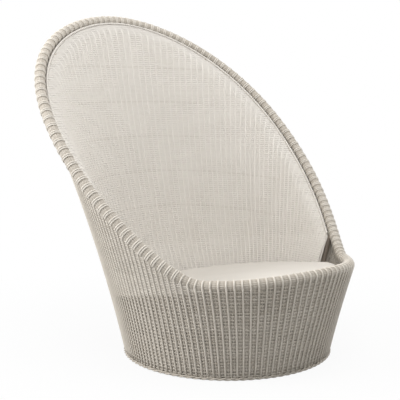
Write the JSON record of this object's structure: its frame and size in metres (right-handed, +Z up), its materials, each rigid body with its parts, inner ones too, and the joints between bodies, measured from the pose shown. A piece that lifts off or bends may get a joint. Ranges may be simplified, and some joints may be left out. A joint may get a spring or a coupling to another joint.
{
  "type": "woven sun lounger",
  "caption": "High-backed garden lounger: flared woven basket on a round foot, with a scooped inner back, wrapped rim and loose seat cushion.",
  "frame": {"origin": "on the floor, under the middle of the chair's box from side to side and from front to back", "axes": "+Z up, -Y is where the sitter faces, +X is the sitter's left"},
  "size_m": [1.1614, 1.2006, 1.27],
  "materials": {
    "frame_metal": "powder-coated, satin taupe",
    "cane_outer": "whitewashed grey-taupe synthetic cane, woven, satin",
    "cane_inner": "whitewashed light grey synthetic cane, woven, satin",
    "glide_plastic": "moulded black, matte",
    "screw_steel": "zinc plated",
    "cushion_fabric": "off-white outdoor canvas",
    "cushion_foam": "open-cell foam"
  },
  "bodies": {
    "chair": {"rim_tube": "frame_metal", "rim_wrap": "cane_inner", "foot_ring": "frame_metal", "seat_ring": "frame_metal", "upright_front_right": "frame_metal", "upright_front_left": "frame_metal", "upright_side_right": "frame_metal", "upright_side_left": "frame_metal", "upright_arm_right": "frame_metal", "upright_arm_left": "frame_metal", "upright_back_right": "frame_metal", "upright_back_left": "frame_metal", "back_hoop_1": "frame_metal", "back_hoop_2": "frame_metal", "back_hoop_3": "frame_metal", "back_hoop_4": "frame_metal", "back_hoop_5": "frame_metal", "seat_bar_front": "frame_metal", "seat_bar_middle": "frame_metal", "seat_bar_rear": "frame_metal", "outer_weave": "cane_outer", "inner_back_weave": "cane_inner", "seat_weave": "cane_inner", "foot_braid": "cane_outer", "edge_braid_right": "cane_inner", "edge_braid_left": "cane_inner", "glides": "glide_plastic", "glide_screws": "screw_steel"},
    "cushion": {"cushion_cover": "cushion_fabric", "cushion_foam": "cushion_foam"}
  },
  "joints": [
    {"name": "cushion_lift", "type": "slide", "parent": "chair", "child": "cushion", "axis": [0, 0, 1], "range_m": [0, 0.3]}
  ]
}
